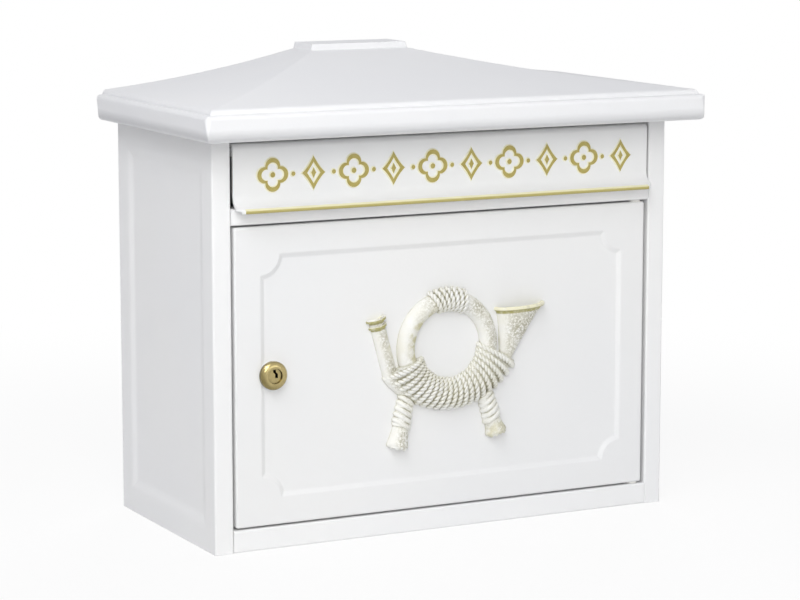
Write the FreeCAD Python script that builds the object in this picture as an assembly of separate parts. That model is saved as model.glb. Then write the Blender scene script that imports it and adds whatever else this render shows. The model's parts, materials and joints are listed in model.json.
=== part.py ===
import FreeCAD, Part
import math
import os

# A wall letter box of folded sheet: a cabinet with posts and rails, a hipped roof, a letter flap
# on a hinge rod, and a door on two pivot pins with a cam lock and a cast post horn.
# Millimetres. X runs to the right seen from the front, Y to the back, Z up.
# The origin is under the middle of the roof's outline, on the surface the box stands on.

# Cabinet
body_width = 362.0
body_depth = 170.0
body_height = 296.0
sheet = 1.2
bend = 0.4
post_width = 14.0
return_depth = 12.0
bottom_rail_height = 15.75
cross_rail_height = 11.6
letter_slot_height = 46.1
top_rail_height = 10.0
tray_flange = 14.0
roof_flange = 18.0
seam = 0.3

# Pressed panel in each side
side_margin = 15.5
side_top_margin = 25.0
side_sink = 2.0
side_bevel = 10.0

# Holes for the wall screws
wall_hole_radius = 3.5
wall_hole_spread = 260.0
wall_hole_rise = 180.0

# Roof
eave_side = 16.0
eave_front = 30.0
rim_drop = 8.0
rim_lip = 8.0
rim_foot_round = 3.6
rim_lean = 1.0
rim_face = 12.0
rim_ovolo = 3.0
rim_ledge = 1.4
rim_bead = 3.6
roof_rise = 25.1
roof_sag = 2.8
roof_wall = 2.2
roof_corner = 4.5
cap_width = 77.0
cap_depth = 30.0
cap_height = 4.7
cap_batter = 1.4

# Roof screws and their bosses
boss_radius = 4.5
boss_inset = 9.0
boss_from_end = 30.0
screw_radius = 1.5
screw_depth = 9.0
screw_head_radius = 3.6
screw_head = 2.4

# Letter flap
flap_gap = 1.8
flap_top_gap = 1.3
flap_thickness = 2.0
lip_reach = 11.5
lip_radius = 8.0
lip_overlap = 2.5
lip_corner = 7.0
hem_face = 2.2
hem_slope = 1.4
hem_thickness = 2.0
rod_radius = 1.8
knuckle_wall = 2.8
rod_cap_radius = 3.0
rod_cap_length = 3.0

# Door
door_gap_lock = 2.1
door_gap_hinge = 3.1
door_gap_ends = 1.4
panel_margin = 19.5
panel_sink = 2.0
panel_bevel = 3.2
panel_scallop = 14.5
stop_height = 5.0
pivot_inset = 6.0
pivot_depth = 5.5
pin_radius = 2.0
pin_head_radius = 3.4
pin_head = 1.5
pin_reach = 3.0
washer_radius = 4.6

# Lock
lock_inset = 28.0
lock_rise = 1.0
collar_radius = 10.0
collar_height = 5.0
collar_dome = 2.2
collar_land = 1.0
barrel_radius = 8.0
plug_radius = 5.4
plug_sink = 1.5
keyway_width = 2.1
keyway_step = 1.5
keyway_depth = 6.0
nut_across = 22.0
nut_height = 4.0
cam_thickness = 2.0
cam_half_width = 6.5
cam_overlap = 8.0
cam_square = 6.0
cam_screw_radius = 2.0
cam_screw_length = 5.0
cam_screw_head_radius = 3.8
cam_screw_head = 2.2

# Post horn: ring, studs and the runs of its cords
horn_shift_x = 0.9
horn_shift_z = 10.3
ring_radius = 33.3
tube_radius = 6.9
stud_radius = 1.5
stud_length = 5.0
push_nut_radius = 5.0
push_nut_height = 1.0
cord_runs = 5
cord_sides = 8
cord_tuck = 1.5

# Upper winding, by angles about the ring
top_turns = 7
top_winding_from = 66.0
top_winding_to = 111.0
top_winding_tilt = 12.0
top_winding_out = 0.6
top_cord = 1.4

# Lower winding: each turn arches from an inner to an outer end, and both rows of ends skew and bow
low_turns = 21
low_stations = 7
low_cord = 1.25
low_rise = 9.0
low_core_sink = 0.25
low_inner_from = 196.0
low_inner_sweep = 167.0
low_inner_reach = 2.4
low_inner_skew = 4.4
low_inner_bow = -4.8
low_outer_from = 198.0
low_outer_sweep = 146.6
low_outer_reach = 4.1
low_outer_skew = 3.2
low_outer_bow = 47.6

# Mouthpiece leg and its elbow
leg_radius = 5.6
leg_length = 45.8
leg_lean = 15.2
leg_out = 15.8
leg_at = 203.0
leg_cup = 2.4
leg_edge = 1.0
leg_rim = 2.0
leg_rim_width = 3.4
leg_ring = 1.3
leg_ring_from = 5.4
leg_ring_width = 2.8
elbow_out = 11.4
elbow_at = 220.0
elbow_end_out = 4.5
elbow_end_at = 265.0

# Bell
bell_out = 16.0
bell_at = -14.9
bell_height = 37.4
bell_lean = 17.0
bell_tilt = 3.0
bell_tuck = 3.0
bell_stations = 5
bell_throat = 4.6
bell_relief_throat = 4.4
bell_cone = 13.0
bell_flare = 2.2
bell_flare_power = 8
bell_relief_cone = 4.8
bell_relief_flare = 1.4
bell_rim = 2.6
bell_rim_reach = 0.6
bell_rim_edge = 0.6
bell_lip = 1.6
bell_dish = 6.0

# Tassels: lengths and radii of the knotted beads, then the skirt and where each hangs
tassel_beads = ((3.6, 5.6), (4.4, 6.6), (6.2, 6.4), (3.6, 7.0), (3.6, 7.2))
tassel_top_radius = 4.4
tassel_neck = 1.1
tassel_waist = 0.9
tassel_waist_share = 0.45
tassel_foot_radius = 8.4
tassel_foot_round = 2.4
tassel_foot_edge = 0.6
left_tassel_out = 14.2
left_tassel_at = 226.2
left_tassel_lean = -12.0
left_tassel_skirt = 15.6
right_tassel_out = 13.1
right_tassel_at = 310.5
right_tassel_lean = 18.0
right_tassel_skirt = 11.8

# Clearances
running_fit = 0.06
seat_fit = 0.02
moving_gap = 0.4

# Places worked out from the sizes above
Vec = FreeCAD.Vector
half_width = body_width / 2
back_y = (body_depth + eave_front) / 2
front_y = back_y - body_depth
inner_half = half_width - sheet
opening_half = half_width - post_width
slot_top = body_height - top_rail_height
slot_bottom = slot_top - letter_slot_height
opening_top = slot_bottom - cross_rail_height
return_y = front_y + return_depth
stop_y = return_y + seam
door_left = door_gap_lock - opening_half
door_right = opening_half - door_gap_hinge
door_low = bottom_rail_height + door_gap_ends
door_high = opening_top - door_gap_ends
door_mid_x = (door_left + door_right) / 2
door_mid_z = (door_low + door_high) / 2
panel_floor_y = front_y + panel_sink
pivot_x = door_right - pivot_inset
pivot_y = front_y + pivot_depth
stop_right = pivot_x - 2 * pivot_inset
lock_x = door_left + lock_inset
lock_z = door_mid_z + lock_rise
cam_y = return_y + moving_gap
knuckle_radius = rod_radius + seat_fit + knuckle_wall
flap_axis_y = front_y + knuckle_radius
flap_axis_z = slot_top - flap_top_gap - knuckle_radius
roof_half = half_width + eave_side
eave_y = front_y - eave_front
rim_bottom = body_height - rim_drop
boss_x = inner_half - boss_inset
boss_ys = (front_y + boss_from_end, back_y - boss_from_end)
ring_x = door_mid_x + horn_shift_x
ring_z = door_mid_z + horn_shift_z


# Helpers

def box(low_x, high_x, low_y, high_y, low_z, high_z):
    return Part.makeBox(high_x - low_x, high_y - low_y, high_z - low_z, Vec(low_x, low_y, low_z))


def rod(radius, start, end):
    return Part.makeCylinder(radius, (end - start).Length, start, end - start)


def face_of(edges):
    return Part.Face(Part.Wire(edges))


def line(start, end):
    return Part.LineSegment(start, end).toShape()


def arc(start, through, end):
    return Part.Arc(start, through, end).toShape()


def mirrored(shape):
    return shape.mirror(Vec(0, 0, 0), Vec(1, 0, 0))


def edges_along(shape, test):
    """Edges of a shape whose two ends both pass a test."""
    return [e for e in shape.Edges if all(test(v.Point) for v in e.Vertexes)]


def round_front_corners(block, radius):
    """Block with its two upright front edges rounded."""
    front = block.BoundBox.YMin
    upright = [e for e in edges_along(block, lambda p: p.y < front + radius)
               if abs(e.Vertexes[0].Z - e.Vertexes[1].Z) > radius]
    return block.makeFillet(radius, upright)


def rounded_run(points, radii):
    """Lines and tangent arcs along a path of 2-D points, one radius for each inner point."""
    pieces = []
    last = Vec(*points[0], 0)
    for before, corner, after, radius in zip(points, points[1:], points[2:], radii):
        turn_point = Vec(*corner, 0)
        way_in = (turn_point - Vec(*before, 0)).normalize()
        way_out = (Vec(*after, 0) - turn_point).normalize()
        turn = way_in.getAngle(way_out)
        cut = radius * math.tan(turn / 2)
        start = turn_point - way_in * cut
        end = turn_point + way_out * cut
        inward = (way_out - way_in).normalize()
        middle = turn_point + inward * (radius / math.cos(turn / 2) - radius)
        pieces += [(last, start), (start, middle, end)]
        last = end
    return pieces + [(last, Vec(*points[-1], 0))]


def sheet_section(points, place):
    """Face of a folded sheet that lies to the right of a path of square folds."""
    sides = []
    for a, b in zip(points, points[1:]):
        length = math.hypot(b[0] - a[0], b[1] - a[1])
        sides.append(((b[1] - a[1]) / length * sheet, (a[0] - b[0]) / length * sheet))
    inner = [(points[0][0] + sides[0][0], points[0][1] + sides[0][1])]
    near, far = [], []
    for corner, s, t in zip(points[1:], sides, sides[1:]):
        inner.append((corner[0] + s[0] + t[0], corner[1] + s[1] + t[1]))
        turns_right = s[0] * t[1] - s[1] * t[0] < 0
        near.append(bend + sheet if turns_right else bend)
        far.append(bend if turns_right else bend + sheet)
    inner.append((points[-1][0] + sides[-1][0], points[-1][1] + sides[-1][1]))
    pieces = rounded_run(points, near)
    pieces.append((Vec(*points[-1], 0), Vec(*inner[-1], 0)))
    pieces += rounded_run(inner[::-1], far[::-1])
    pieces.append((Vec(*inner[0], 0), Vec(*points[0], 0)))
    edges = []
    for piece in pieces:
        spots = [place(p.x, p.y) for p in piece]
        edges.append(line(*spots) if len(spots) == 2 else arc(*spots))
    return face_of(edges)


def pressed_profile(low, high, skin, place):
    """Face under one flat-bottomed pressing, seen end on: two S-curved banks and a floor."""
    angle = 2 * math.atan(side_sink / side_bevel)
    radius = side_bevel / (2 * math.sin(angle))

    def bank(edge, way):
        def upper(a):
            return place(edge + way * (radius - skin) * math.sin(a), radius - (radius - skin) * math.cos(a))

        def lower(a):
            reach = side_bevel - (radius + skin) * math.sin(a)
            return place(edge + way * reach, side_sink - radius + (radius + skin) * math.cos(a))
        return upper(0), upper(angle / 2), upper(angle), lower(angle / 2), lower(0)

    left, right = bank(low, 1), bank(high, -1)
    return face_of([arc(*left[:3]), arc(*left[2:]), line(left[4], right[4]),
                    arc(*right[:1:-1]), arc(*right[2::-1]), line(right[0], left[0])])


def side_pressing(skin):
    """Solid that the pressing of the left side wall sinks, or stands out by on the inner face."""
    low_y, high_y = front_y + side_margin, back_y - side_margin
    low_z, high_z = side_margin, body_height - side_top_margin
    upright = pressed_profile(low_y, high_y, skin, lambda y, d: Vec(d - half_width, y, low_z - side_bevel))
    level = pressed_profile(low_z, high_z, skin, lambda z, d: Vec(d - half_width, low_y - side_bevel, z))
    upright = upright.extrude(Vec(0, 0, high_z - low_z + 2 * side_bevel))
    return upright.common(level.extrude(Vec(0, high_y - low_y + 2 * side_bevel, 0)))


# Cabinet

def left_side_panel():
    path = [(-opening_half, return_y), (-opening_half, front_y), (-half_width, front_y),
            (-half_width, back_y)]
    panel = sheet_section(path, lambda x, y: Vec(x, y, 0)).extrude(Vec(0, 0, body_height))
    top = box(-inner_half, roof_flange - inner_half, return_y + seam, back_y - tray_flange - sheet - seam,
              body_height - sheet, body_height)
    panel = panel.fuse([top, side_pressing(sheet)]).cut(side_pressing(0))
    rod_hole = rod(rod_radius + running_fit, Vec(-half_width + 2 * sheet, flap_axis_y, flap_axis_z),
                   Vec(0, flap_axis_y, flap_axis_z))
    screw_holes = [rod(screw_radius + moving_gap, Vec(-boss_x, y, slot_top), Vec(-boss_x, y, body_height))
                   for y in boss_ys]
    return panel.cut([rod_hole] + screw_holes).removeSplitter()


def back_panel():
    inner_y = back_y - sheet
    path = [(-inner_half, inner_y - tray_flange), (-inner_half, back_y), (inner_half, back_y),
            (inner_half, inner_y - tray_flange)]
    panel = sheet_section(path, lambda x, y: Vec(x, y, 0)).extrude(Vec(0, 0, body_height))
    under_flanges = box(-inner_half, inner_half, inner_y - tray_flange, inner_y, 0, sheet + seam)
    top = box(-inner_half + sheet + seam, inner_half - sheet - seam, inner_y - tray_flange, inner_y,
              body_height - sheet, body_height)
    middle_z = body_height / 2
    holes = [rod(wall_hole_radius, Vec(x, inner_y - 1, z), Vec(x, back_y + 1, z))
             for x in (-wall_hole_spread / 2, wall_hole_spread / 2)
             for z in (middle_z - wall_hole_rise / 2, middle_z + wall_hole_rise / 2)]
    return panel.cut([under_flanges]).fuse(top).cut(holes).removeSplitter()


def floor_tray():
    rear = back_y - sheet
    path = [(rear, tray_flange), (rear, 0), (front_y, 0), (front_y, bottom_rail_height),
            (stop_y, bottom_rail_height), (stop_y, bottom_rail_height + stop_height)]
    middle = sheet_section(path, lambda y, z: Vec(-opening_half, y, z)).extrude(Vec(2 * opening_half, 0, 0))
    wing_path = [(-opening_half, 0), (-inner_half, 0), (-inner_half, tray_flange)]
    wing = sheet_section(wing_path, lambda x, z: Vec(x, stop_y, z))
    wing = wing.extrude(Vec(0, rear - tray_flange - seam - stop_y, 0))
    behind = box(-inner_half + bend, -opening_half, rear - 2 * tray_flange, rear, 0, sheet)
    in_post = box(-inner_half + bend, -opening_half - sheet - seam, front_y + sheet + bend, stop_y + sheet,
                  0, sheet)
    wing = wing.fuse([behind, in_post])
    no_stop = box(stop_right, opening_half, stop_y - bend, stop_y + 2 * sheet,
                  bottom_rail_height - bend, bottom_rail_height + stop_height)
    pin_hole = rod(pin_radius + running_fit, Vec(pivot_x, pivot_y, sheet + 1),
                   Vec(pivot_x, pivot_y, door_low))
    return middle.fuse([wing, mirrored(wing)]).cut([no_stop, pin_hole]).removeSplitter()


def cross_rail():
    path = [(stop_y, opening_top - stop_height), (stop_y, opening_top), (front_y, opening_top),
            (front_y, slot_bottom), (return_y, slot_bottom)]
    rail = sheet_section(path, lambda y, z: Vec(-opening_half, y, z)).extrude(Vec(2 * opening_half, 0, 0))
    no_stop = box(stop_right, opening_half, stop_y - bend, stop_y + 2 * sheet,
                  opening_top - stop_height, opening_top + bend)
    pin_hole = rod(pin_radius + running_fit, Vec(pivot_x, pivot_y, door_high),
                   Vec(pivot_x, pivot_y, slot_bottom - sheet - 1))
    return rail.cut([no_stop, pin_hole]).removeSplitter()


def top_rail():
    path = [(front_y, slot_top), (front_y, body_height), (return_y, body_height)]
    return sheet_section(path, lambda y, z: Vec(-opening_half, y, z)).extrude(Vec(2 * opening_half, 0, 0))


# Roof

def rim_levels():
    """Heights of the rim's foot, face, ovolo, bead and of the cap's foot and top."""
    face_foot = rim_bottom + rim_foot_round
    face_top = face_foot + rim_face
    ledge = face_top + rim_ovolo
    slope_foot = ledge + rim_bead
    cap_foot = slope_foot + roof_rise
    return face_foot, face_top, ledge, slope_foot, cap_foot, cap_foot + cap_height


def outer_bank(reach):
    """Outside of the roof from the rim's foot to the cap, as edges of (inset, height) points."""
    face_foot, face_top, ledge, slope_foot, cap_foot, cap_top = rim_levels()
    quarter = 1 - math.sqrt(0.5)
    bead_from = rim_ovolo + rim_ledge
    bead_to = bead_from + rim_bead
    middle = ((bead_to + reach) / 2, (slope_foot + cap_foot) / 2 - roof_sag)
    return [
        [(rim_lean + rim_foot_round, rim_bottom),
         (rim_lean + rim_foot_round * quarter, rim_bottom + rim_foot_round * quarter), (rim_lean, face_foot)],
        [(rim_lean, face_foot), (0, face_top)],
        [(0, face_top), (rim_ovolo * quarter, ledge - rim_ovolo * quarter), (rim_ovolo, ledge)],
        [(rim_ovolo, ledge), (bead_from, ledge)],
        [(bead_from, ledge),
         (bead_from + rim_bead * quarter, slope_foot - rim_bead * quarter), (bead_to, slope_foot)],
        [(bead_to, slope_foot), middle, (reach, cap_foot)],
        [(reach, cap_foot), (reach + cap_batter, cap_top)],
    ]


def inner_bank(reach):
    """Inside of the roof's shell, with the rim's foot turned in as a safe edge."""
    face_top, _, slope_foot, cap_foot, cap_top = rim_levels()[1:]
    wall = rim_lean + roof_wall
    slope_from = rim_ovolo + rim_ledge + rim_bead + roof_wall
    middle = ((slope_from + reach) / 2, (slope_foot + cap_foot) / 2 - roof_sag - roof_wall)
    crown = reach + cap_batter + roof_wall
    return [
        [(rim_lip, rim_bottom), (rim_lip, rim_bottom + roof_wall)],
        [(rim_lip, rim_bottom + roof_wall), (wall, rim_bottom + roof_wall)],
        [(wall, rim_bottom + roof_wall), (wall, face_top)],
        [(wall, face_top), (slope_from, slope_foot - roof_wall)],
        [(slope_from, slope_foot - roof_wall), middle, (reach, cap_foot - roof_wall)],
        [(reach, cap_foot - roof_wall), (crown, cap_foot - roof_wall)],
        [(crown, cap_foot - roof_wall), (crown, cap_top - roof_wall)],
    ]


def bank_edges(bank, place):
    edges = []
    for spots in bank:
        spots = [place(*s) for s in spots]
        edges.append(line(*spots) if len(spots) == 2 else arc(*spots))
    return edges


def roof_body(bank, rear_y):
    """Roof form as the common part of its front outline and its side outline."""
    side_bank = bank(roof_half - cap_width / 2 - cap_batter)
    front_bank = bank(body_depth + eave_front - cap_depth - cap_batter)
    left = bank_edges(side_bank, lambda s, z: Vec(s - roof_half, eave_y, z))
    right = bank_edges(side_bank, lambda s, z: Vec(roof_half - s, eave_y, z))
    foot, crown = side_bank[0][0], side_bank[-1][-1]
    front_face = Part.Face(Part.Wire(Part.__sortEdges__(left + right + [
        line(Vec(foot[0] - roof_half, eave_y, foot[1]), Vec(roof_half - foot[0], eave_y, foot[1])),
        line(Vec(crown[0] - roof_half, eave_y, crown[1]), Vec(roof_half - crown[0], eave_y, crown[1]))])))
    slope = bank_edges(front_bank, lambda s, z: Vec(-roof_half, eave_y + s, z))
    foot, crown = front_bank[0][0], front_bank[-1][-1]
    corners = [Vec(-roof_half, eave_y + crown[0], crown[1]), Vec(-roof_half, rear_y, crown[1]),
               Vec(-roof_half, rear_y, foot[1]), Vec(-roof_half, eave_y + foot[0], foot[1])]
    side_face = face_of(slope + [line(a, b) for a, b in zip(corners, corners[1:])])
    through = front_face.extrude(Vec(0, body_depth + eave_front, 0))
    return through.common(side_face.extrude(Vec(2 * roof_half, 0, 0)))


def roof():
    plan = box(-roof_half, roof_half, eave_y, back_y, rim_bottom, rim_levels()[-1])
    outside = roof_body(outer_bank, back_y).common(round_front_corners(plan, roof_corner))
    shell = outside.cut(roof_body(inner_bank, back_y - roof_wall))
    body_pocket = box(-half_width - seam, half_width + seam, back_y - 2 * roof_wall, back_y + 1,
                      rim_bottom - 1, body_height)
    bosses, pilots = [], []
    for x in (-boss_x, boss_x):
        for y in boss_ys:
            foot = Vec(x, y, body_height)
            bosses.append(rod(boss_radius, foot, Vec(x, y, rim_levels()[-1])).common(outside))
            pilots.append(rod(screw_radius + seat_fit, foot, foot + Vec(0, 0, screw_depth + 1)))
    return shell.cut(body_pocket).fuse(bosses).cut(pilots).removeSplitter()


def roof_screws():
    screws = []
    for x in (-boss_x, boss_x):
        for y in boss_ys:
            under = Vec(x, y, body_height - sheet)
            shank = rod(screw_radius, under, Vec(x, y, body_height + screw_depth))
            head = rod(screw_head_radius, under - Vec(0, 0, screw_head), under)
            screws.append(head.fuse(shank).removeSplitter())
    return Part.makeCompound(screws)


# Letter flap

def letter_flap():
    half = opening_half - flap_gap
    lip_foot = slot_bottom - lip_overlap
    lip_floor = lip_foot + hem_face + hem_slope
    pivot = (front_y - lip_radius, lip_floor + lip_radius)
    back_radius = lip_radius + flap_thickness
    hem_y = front_y - lip_reach

    def spot(y, z):
        return Vec(-half, y, z)

    def on_curve(radius, angle):
        return spot(pivot[0] + radius * math.cos(angle), pivot[1] - radius * math.sin(angle))

    corners = [on_curve(lip_radius, math.pi / 2), spot(hem_y, lip_foot + hem_face), spot(hem_y, lip_foot),
               spot(hem_y + hem_thickness, lip_foot), spot(hem_y + hem_thickness, pivot[1] - back_radius),
               on_curve(back_radius, math.pi / 2)]
    plate_top = [spot(front_y + flap_thickness, flap_axis_z), spot(front_y, flap_axis_z)]
    edges = [line(plate_top[1], on_curve(lip_radius, 0)),
             arc(on_curve(lip_radius, 0), on_curve(lip_radius, math.pi / 4), corners[0])]
    edges += [line(a, b) for a, b in zip(corners, corners[1:])]
    edges += [arc(corners[-1], on_curve(back_radius, math.pi / 4), on_curve(back_radius, 0)),
              line(on_curve(back_radius, 0), plate_top[0]), line(*plate_top)]
    plate = face_of(edges).extrude(Vec(2 * half, 0, 0))
    axis_ends = Vec(-half, flap_axis_y, flap_axis_z), Vec(half, flap_axis_y, flap_axis_z)
    flap = plate.fuse(rod(knuckle_radius, *axis_ends)).cut(rod(rod_radius + seat_fit, *axis_ends))
    plan = box(-half, half, hem_y, flap_axis_y + 2 * knuckle_radius, lip_foot - 1, slot_top)
    return flap.common(round_front_corners(plan, lip_corner)).removeSplitter()


def flap_rod_ends():
    reach = opening_half + sheet + seam + rod_cap_length
    return Vec(-reach + 1, flap_axis_y, flap_axis_z), Vec(reach - 1, flap_axis_y, flap_axis_z)


def flap_rod_caps():
    bore_end = flap_rod_ends()[0]
    inner = opening_half + sheet + seam
    cap = rod(rod_cap_radius, Vec(-inner - rod_cap_length, flap_axis_y, flap_axis_z),
              Vec(-inner, flap_axis_y, flap_axis_z))
    rim = edges_along(cap, lambda p: p.x < -inner - rod_cap_length / 2)
    cap = cap.makeChamfer(rod_cap_length / 4, [e for e in rim if e.Closed])
    cap = cap.cut(rod(rod_radius + seat_fit, bore_end, Vec(-inner, flap_axis_y, flap_axis_z)))
    return Part.makeCompound([cap, mirrored(cap)])


# Door

def scalloped_wire(inset, y):
    """Outline of the sunk panel: straight sides and hollow corners struck from the panel's own corners."""
    half_x = (door_right - door_left) / 2 - panel_margin
    half_z = (door_high - door_low) / 2 - panel_margin
    radius = panel_scallop + inset
    run = math.sqrt(radius ** 2 - inset ** 2)
    slant = radius * math.sqrt(0.5)

    def spot(x, z):
        return Vec(door_mid_x + x, y, door_mid_z + z)

    edges = []
    for sx, sz, next_sx, next_sz in ((1, 1, -1, 1), (-1, 1, -1, -1), (-1, -1, 1, -1), (1, -1, 1, 1)):
        beside = spot(sx * (half_x - inset), sz * (half_z - run))
        along = spot(sx * (half_x - run), sz * (half_z - inset))
        middle = spot(sx * (half_x - slant), sz * (half_z - slant))
        first, last = (beside, along) if sx == sz else (along, beside)
        edges.append(arc(first, middle, last))
        if sx == sz:
            following = spot(next_sx * (half_x - run), next_sz * (half_z - inset))
        else:
            following = spot(next_sx * (half_x - inset), next_sz * (half_z - run))
        edges.append(line(last, following))
    return Part.Wire(edges)


def lock_axis_rod(radius, near_y, far_y):
    return rod(radius, Vec(lock_x, near_y, lock_z), Vec(lock_x, far_y, lock_z))


def horn_stud_places():
    return [(ring_x - ring_radius, ring_z), (ring_x + ring_radius, ring_z)]


def door_panel():
    pan = box(door_left, door_right, front_y, return_y, door_low, door_high)
    pan = pan.makeFillet(bend + sheet, [e for e in pan.Edges if e.BoundBox.YMin < return_y - 1])
    hollow = box(door_left + sheet, door_right - sheet, front_y + sheet, return_y + sheet,
                 door_low + sheet, door_high - sheet)
    hollow = hollow.makeFillet(bend, [e for e in hollow.Edges if e.BoundBox.YMin < return_y])
    spread = sheet * math.tan(math.atan(panel_sink / panel_bevel) / 2)
    sunk = Part.makeLoft([scalloped_wire(0, front_y), scalloped_wire(panel_bevel, panel_floor_y)], True, True)
    raised = Part.makeLoft([scalloped_wire(-spread, front_y + sheet),
                            scalloped_wire(panel_bevel - spread, panel_floor_y + sheet)], True, True)
    sunk = sunk.cut(lock_axis_rod(collar_radius, front_y, panel_floor_y))
    raised = raised.cut(lock_axis_rod(collar_radius - sheet, front_y + sheet, panel_floor_y + sheet))
    door = pan.cut(hollow).fuse(raised).cut(sunk)
    holes = [lock_axis_rod(barrel_radius + seat_fit, front_y - 1, return_y)]
    holes += [rod(stud_radius + seat_fit, Vec(x, front_y, z), Vec(x, return_y, z))
              for x, z in horn_stud_places()]
    through = Vec(0, 0, sheet + 1)
    holes += [rod(pin_radius + seat_fit, spot - through, spot + through)
              for spot in (Vec(pivot_x, pivot_y, door_low), Vec(pivot_x, pivot_y, door_high))]
    return door.cut(holes).removeSplitter()


def pivot_set(flange_z, way):
    """Headed pin and spacer washer at one end of the door; way is +1 upward."""
    axis = Vec(0, 0, way)
    flange = Vec(pivot_x, pivot_y, flange_z)
    inside = flange - axis * sheet
    pin = rod(pin_radius, inside, flange + axis * (door_gap_ends + sheet + pin_reach))
    pin = pin.fuse(rod(pin_head_radius, inside - axis * pin_head, inside)).removeSplitter()
    outside = flange + axis * (door_gap_ends - seam / 2)
    washer = rod(washer_radius, flange, outside).cut(rod(pin_radius + seat_fit, flange, outside))
    return pin, washer


# Lock

def turned(outline, start, direction):
    """Solid of revolution: outline runs in (distance along the axis, radius) points, from axis to axis."""
    def spot(s, r):
        return Vec(r, 0, s)

    edges = []
    for a, *through, b in outline:
        edges.append(arc(spot(*a), spot(*through[0]), spot(*b)) if through else line(spot(*a), spot(*b)))
    edges.append(line(spot(*outline[-1][-1]), spot(*outline[0][0])))
    solid = face_of(edges).revolve(Vec(0, 0, 0), Vec(0, 0, 1), 360)
    solid.Placement = FreeCAD.Placement(start, FreeCAD.Rotation(Vec(0, 0, 1), direction))
    return solid


def polyline(points):
    return [(a, b) for a, b in zip(points, points[1:])]


def lock_barrel():
    rear = cam_y - moving_gap / 2 - front_y + collar_height
    land = plug_radius + running_fit + collar_land
    run = collar_radius - land
    dome_radius = (collar_dome ** 2 + run ** 2) / (2 * collar_dome)
    half_turn = math.atan2(run, dome_radius - collar_dome) / 2
    on_dome = (dome_radius * (1 - math.cos(half_turn)), land + dome_radius * math.sin(half_turn))
    outline = [((0, 0), (0, land)), ((0, land), on_dome, (collar_dome, collar_radius))]
    outline += polyline([(collar_dome, collar_radius), (collar_height, collar_radius),
                         (collar_height, barrel_radius), (rear, barrel_radius), (rear, 0)])
    barrel = turned(outline, Vec(lock_x, front_y - collar_height, lock_z), Vec(0, 1, 0))
    bore = lock_axis_rod(plug_radius + running_fit, front_y - collar_height, return_y + 2 * cam_thickness)
    return barrel.cut(bore)


def lock_nut():
    seat = panel_floor_y + sheet
    corner = nut_across / math.sqrt(3)
    spots = [Vec(lock_x + corner * math.cos(a), seat, lock_z + corner * math.sin(a))
             for a in (math.radians(60 * i) for i in range(7))]
    nut = Part.Face(Part.makePolygon(spots)).extrude(Vec(0, nut_height, 0))
    return nut.cut(lock_axis_rod(barrel_radius + seat_fit, seat, seat + nut_height))


def cam_prism(width, near_y, far_y):
    return box(lock_x - width / 2, lock_x + width / 2, near_y, far_y, lock_z - width / 2, lock_z + width / 2)


def lock_plug():
    face_y = front_y - collar_height + plug_sink
    tail_y = cam_y + cam_thickness
    plug = lock_axis_rod(plug_radius, face_y, cam_y).fuse(cam_prism(cam_square, cam_y, tail_y))
    high = lock_z + plug_radius - keyway_width / 2
    middle = lock_z + plug_radius / 2
    half = keyway_width / 2
    spots = [(-half, high), (half, high), (half, middle), (half + keyway_step, middle - keyway_step),
             (half + keyway_step, lock_z - keyway_step), (keyway_step - half, lock_z - keyway_step),
             (keyway_step - half, middle - keyway_step), (-half, middle), (-half, high)]
    keyway = Part.Face(Part.makePolygon([Vec(lock_x + x, face_y, z) for x, z in spots]))
    keyway = keyway.extrude(Vec(0, keyway_depth, 0))
    screw_hole = lock_axis_rod(cam_screw_radius + seat_fit, tail_y - cam_screw_length - 1, tail_y)
    return plug.cut([keyway, screw_hole]).removeSplitter()


def lock_cam():
    reach = lock_inset + door_gap_lock + cam_overlap
    tip_z = lock_z - reach + cam_half_width
    rear = cam_y + cam_thickness
    blade = box(lock_x - cam_half_width, lock_x + cam_half_width, cam_y, rear, tip_z, lock_z)
    ends = [rod(cam_half_width, Vec(lock_x, cam_y, z), Vec(lock_x, rear, z)) for z in (tip_z, lock_z)]
    return blade.fuse(ends).cut(cam_prism(cam_square + 2 * seat_fit, cam_y, rear)).removeSplitter()


def cam_screw():
    seat = cam_y + cam_thickness
    head = lock_axis_rod(cam_screw_head_radius, seat, seat + cam_screw_head)
    return head.fuse(lock_axis_rod(cam_screw_radius, seat - cam_screw_length, seat)).removeSplitter()


# Post horn: a ring of tube with a mouthpiece leg, a bell, two cord windings and two tassels

def on_ring(radius, angle):
    a = math.radians(angle)
    return Vec(ring_x + radius * math.cos(a), panel_floor_y, ring_z + radius * math.sin(a))


def front_half():
    reach = 4 * ring_radius
    return box(ring_x - reach, ring_x + reach, panel_floor_y - reach, panel_floor_y,
               ring_z - reach, ring_z + reach)


def cord(centre, along, radius, half_sweep, thickness):
    """Faceted cord in straight runs over an arch, with both ends tucked under the arch's feet."""
    sweep = half_sweep + cord_tuck / radius
    spots = []
    for i in range(cord_runs + 1):
        a = sweep * (2 * i / cord_runs - 1)
        spots.append(centre + along * (radius * math.sin(a)) - Vec(0, radius * math.cos(a), 0))
    rim = Part.makeCircle(thickness, spots[0], spots[1] - spots[0])
    section = Part.makePolygon(rim.discretize(cord_sides + 1))
    return Part.makePolygon(spots).makePipeShell([section], True, False, 1)


def low_winding_ends(share):
    """Inner and outer end of one turn of the lower winding, from the left foot (0) to the right (1)."""
    off = share - 0.5
    inner = ring_radius - tube_radius - low_inner_reach + low_inner_skew * off + low_inner_bow * off ** 2
    outer = ring_radius + tube_radius + low_outer_reach + low_outer_skew * off + low_outer_bow * off ** 2
    return (on_ring(inner, low_inner_from + low_inner_sweep * share),
            on_ring(outer, low_outer_from + low_outer_sweep * share))


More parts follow.
